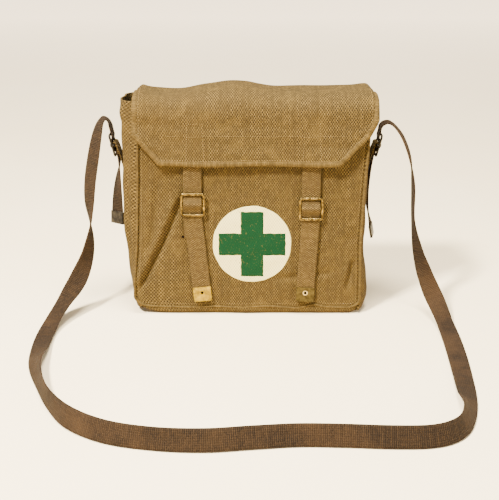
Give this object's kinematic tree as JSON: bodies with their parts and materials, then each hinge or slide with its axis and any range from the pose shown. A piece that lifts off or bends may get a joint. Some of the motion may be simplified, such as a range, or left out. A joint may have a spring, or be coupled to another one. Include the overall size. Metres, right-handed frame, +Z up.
{
  "type": "first aid kit",
  "caption": "Canvas shoulder satchel for first aid supplies, with a strapped folding lid, buckles, a long web sling and packed contents.",
  "frame": {"origin": "on the floor under the middle of the bag's width, in the plane of its flat base", "axes": "+X along the bag's width, +Y from the front panel to the back panel, +Z up"},
  "size_m": [0.5724, 0.49, 0.3056],
  "materials": {
    "canvas": "coarse khaki webbing canvas",
    "strap_web": "light tan woven webbing",
    "sling_web": "dark brown ribbed webbing, worn",
    "buckle_brass": "pale worn brass",
    "dark_metal": "dark bronze, worn",
    "tip_brass": "bright worn brass",
    "tip_brass_dark": "tarnished brass",
    "eyelet_metal": "polished edge",
    "gauze": "loose white gauze",
    "packet_cloth": "waxed cloth wrapping",
    "tin_paint": "olive enamel, worn edges",
    "bottle_glass": "amber glass",
    "cap_plastic": "black moulded plastic",
    "scissor_steel": "brushed steel"
  },
  "bodies": {
    "bag": {"front_panel": "canvas", "back_panel": "canvas", "side_gusset_left": "canvas", "side_gusset_right": "canvas", "bottom_gusset": "canvas", "divider": "canvas", "buckle_chape_left": "strap_web", "buckle_chape_right": "strap_web", "side_chape_left": "strap_web", "side_chape_right": "strap_web", "sling": "sling_web", "sling_loop_left": "sling_web", "sling_loop_right": "sling_web", "sling_tail_left": "sling_web", "sling_tail_right": "sling_web", "sling_tip_left": "dark_metal", "sling_tip_right": "dark_metal", "gauze_roll_1": "gauze", "gauze_roll_2": "gauze", "gauze_roll_3": "gauze", "dressing_packet_1": "packet_cloth", "dressing_packet_2": "packet_cloth", "dressing_packet_3": "packet_cloth", "tin_base": "tin_paint", "antiseptic_bottle": "bottle_glass", "scissors_blade_back": "scissor_steel", "scissors_pivot": "scissor_steel"},
    "lid": {"lid_top": "canvas"},
    "flap": {"lid_flap": "canvas", "closure_strap_left": "strap_web", "closure_strap_right": "strap_web", "strap_tip_left": "tip_brass", "strap_tip_right": "tip_brass_dark", "tip_eyelet_left": "tip_brass", "tip_eyelet_right": "eyelet_metal"},
    "closure_buckle_left": {"closure_buckle_left": "buckle_brass"},
    "closure_buckle_right": {"closure_buckle_right": "buckle_brass"},
    "side_buckle_left": {"side_buckle_left": "dark_metal"},
    "side_buckle_right": {"side_buckle_right": "dark_metal"},
    "tin_lid": {"tin_lid": "tin_paint"},
    "bottle_cap": {"bottle_cap": "cap_plastic"},
    "scissors_front": {"scissors_blade_front": "scissor_steel"}
  },
  "joints": [
    {"name": "lid_hinge", "type": "hinge", "parent": "bag", "child": "lid", "pos_m": [0, 0.051, 0.3032], "axis": [-1, 0, 0], "range_deg": [0, 215]},
    {"name": "flap_fold", "type": "hinge", "parent": "lid", "child": "flap", "pos_m": [0, -0.0435, 0.3026], "axis": [-1, 0, 0], "range_deg": [0, 90], "deforming": ["closure_strap_left", "closure_strap_right", "strap_tip_left", "strap_tip_right", "tip_eyelet_left", "tip_eyelet_right"]},
    {"name": "closure_buckle_left_tilt", "type": "hinge", "parent": "bag", "child": "closure_buckle_left", "pos_m": [-0.082, -0.05333, 0.16094], "axis": [1, 0, 0], "range_deg": [-10, 10]},
    {"name": "closure_buckle_right_tilt", "type": "hinge", "parent": "bag", "child": "closure_buckle_right", "pos_m": [0.082, -0.05376, 0.15496], "axis": [1, 0, 0], "range_deg": [-10, 10]},
    {"name": "side_buckle_left_tilt", "type": "hinge", "parent": "bag", "child": "side_buckle_left", "pos_m": [-0.19358, 0.006, 0.23378], "axis": [0, 1, 0], "range_deg": [-10, 10], "deforming": ["sling_loop_left", "sling_tail_left"]},
    {"name": "side_buckle_right_tilt", "type": "hinge", "parent": "bag", "child": "side_buckle_right", "pos_m": [0.17558, 0.006, 0.23378], "axis": [0, 1, 0], "range_deg": [-10, 10], "deforming": ["sling_loop_right", "sling_tail_right"]},
    {"name": "tin_lid_lift", "type": "slide", "parent": "bag", "child": "tin_lid", "axis": [0, 0, 1], "range_m": [0, 0.09]},
    {"name": "bottle_cap_turn", "type": "hinge", "parent": "bag", "child": "bottle_cap", "pos_m": [0.126, 0.027, 0.1], "axis": [0, 0, 1], "continuous": true},
    {"name": "scissors_open", "type": "hinge", "parent": "bag", "child": "scissors_front", "pos_m": [0.066, 0.042, 0.084], "axis": [0, 1, 0], "range_deg": [0, 25]}
  ]
}
